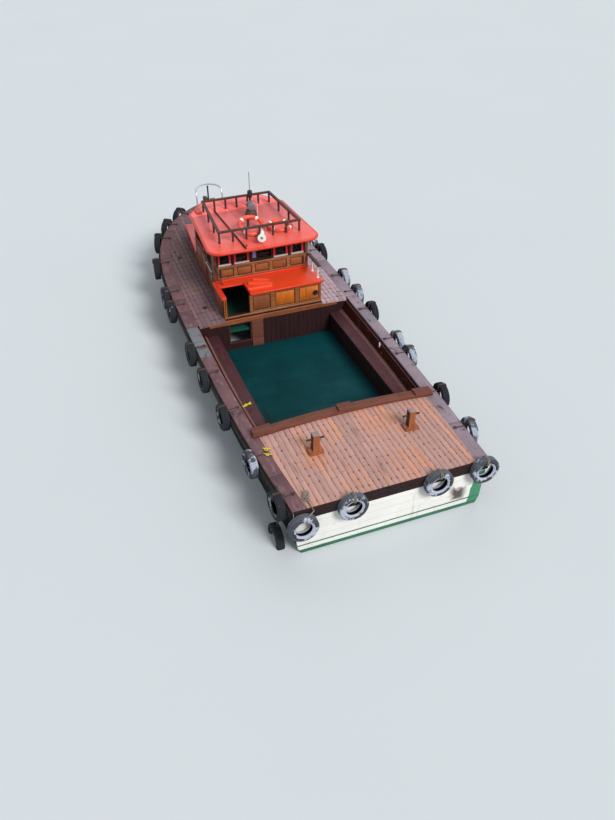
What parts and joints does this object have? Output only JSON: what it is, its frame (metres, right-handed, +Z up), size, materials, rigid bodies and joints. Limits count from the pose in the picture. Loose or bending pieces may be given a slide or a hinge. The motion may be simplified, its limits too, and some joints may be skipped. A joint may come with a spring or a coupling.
{
  "type": "wooden supply launch",
  "caption": "Wooden harbour supply launch with an open cargo well, planked aft deck, two-level wheelhouse forward and tyre fenders.",
  "frame": {"origin": "on the centreline amidships, at the waterline", "axes": "+X to starboard, +Y towards the bow, +Z up"},
  "size_m": [5.026, 13.8456, 4.99],
  "materials": {
    "hull_paint": "black paint over planking, with a green bottom",
    "white_paint": "white paint on boards",
    "deck_planks": "weathered bare planks with dark seams",
    "cap_wood": "worn brown paint and bare timber",
    "varnish": "varnished panelled timber",
    "dark_wood": "dark weathered timber",
    "roof_orange": "glossy vermilion paint, sun-bleached",
    "floor_green": "dark green deck paint on boards",
    "fender_rubber": "worn tyres, scuffed grey",
    "steel_tube": "polished tube",
    "dark_iron": "dark painted iron",
    "shaft_steel": "brushed shaft steel",
    "white_plastic": "white moulded plastic",
    "buoy_orange": "orange moulded plastic",
    "window_glass": "dark window glass",
    "bronze": "cast bronze",
    "engine_grey": "grey engine enamel",
    "grey_rope": "worn laid rope",
    "yellow_rope": "yellow plastic rope"
  },
  "bodies": {
    "root": {"hull": "hull_paint", "keel": "hull_paint", "stem": "dark_wood", "transom": "white_paint", "transom_header": "dark_wood", "aft_deck": "deck_planks", "fore_deck": "deck_planks", "starboard_gunwale_cap": "cap_wood", "port_gunwale_cap": "cap_wood", "starboard_covering_board": "cap_wood", "port_covering_board": "cap_wood", "cargo_floor": "floor_green", "starboard_bench": "cap_wood", "port_bench": "cap_wood", "aft_bulkhead": "varnish", "forward_bulkhead": "varnish", "aft_deck_coaming": "cap_wood", "starboard_bitt": "varnish", "port_bitt": "varnish", "lower_house_aft_wall": "varnish", "lower_house_starboard_wall": "varnish", "lower_house_port_wall": "varnish", "mid_roof": "roof_orange", "wheelhouse_sole": "floor_green", "wheelhouse_aft_wall": "varnish", "wheelhouse_starboard_wall": "varnish", "wheelhouse_port_wall": "varnish", "wheelhouse_front_wall": "varnish", "fore_cabin_walls": "varnish", "fore_cabin_roof": "roof_orange", "wheelhouse_roof": "roof_orange", "aft_glass": "window_glass", "front_glass": "window_glass", "starboard_glass": "window_glass", "port_glass": "window_glass", "helm_console": "varnish", "roof_rail": "dark_wood", "mast": "dark_iron", "loudspeaker": "white_plastic", "lifebuoy_middle": "buoy_orange", "lifebuoy_starboard": "buoy_orange", "boat_hook": "dark_wood", "bow_post": "dark_wood", "pulpit": "steel_tube", "jackstaff": "dark_iron", "engine": "engine_grey", "starboard_fenders": "fender_rubber", "port_fenders": "fender_rubber", "stern_tyre_1": "fender_rubber", "stern_tyre_2": "fender_rubber", "stern_tyre_3": "fender_rubber", "stern_tyre_4": "fender_rubber"},
    "companion_door": {"companion_door": "varnish"},
    "starboard_door": {"starboard_door": "varnish"},
    "port_door": {"port_door": "varnish"},
    "helm_wheel": {"helm_wheel": "dark_wood"},
    "searchlight": {"searchlight": "dark_iron"},
    "screw": {"propeller_shaft": "shaft_steel", "propeller": "bronze"},
    "rudder": {"rudder": "hull_paint"}
  },
  "joints": [
    {"name": "rudder_turn", "type": "hinge", "parent": "root", "child": "rudder", "pos_m": [0, -6.42, -0.5], "axis": [0, 0, 1], "range_deg": [-35, 35]},
    {"name": "wheel_turn", "type": "hinge", "parent": "root", "child": "helm_wheel", "pos_m": [0, 2.76, 1.5], "axis": [0, 1, 0], "range_deg": [-420, 420]},
    {"name": "screw_turn", "type": "hinge", "parent": "root", "child": "screw", "pos_m": [0, -5.73, -0.78], "axis": [0, 0.9959, 0.0908], "continuous": true},
    {"name": "starboard_door_swing", "type": "hinge", "parent": "root", "child": "starboard_door", "pos_m": [1.262, 1.797, 1.9], "axis": [0, 0, 1], "range_deg": [0, 100]},
    {"name": "port_door_swing", "type": "hinge", "parent": "root", "child": "port_door", "pos_m": [-1.262, 1.797, 1.9], "axis": [0, 0, -1], "range_deg": [0, 100]},
    {"name": "companion_door_slide", "type": "slide", "parent": "root", "child": "companion_door", "axis": [-1, 0, 0], "range_m": [0, 0.64]},
    {"name": "searchlight_pan", "type": "hinge", "parent": "root", "child": "searchlight", "pos_m": [0.17, 2.33, 3.05], "axis": [0, 0, 1], "range_deg": [-170, 170]}
  ],
  "couplings": [
    {"joint": "wheel_turn", "follows": "rudder_turn", "ratio": 12}
  ]
}
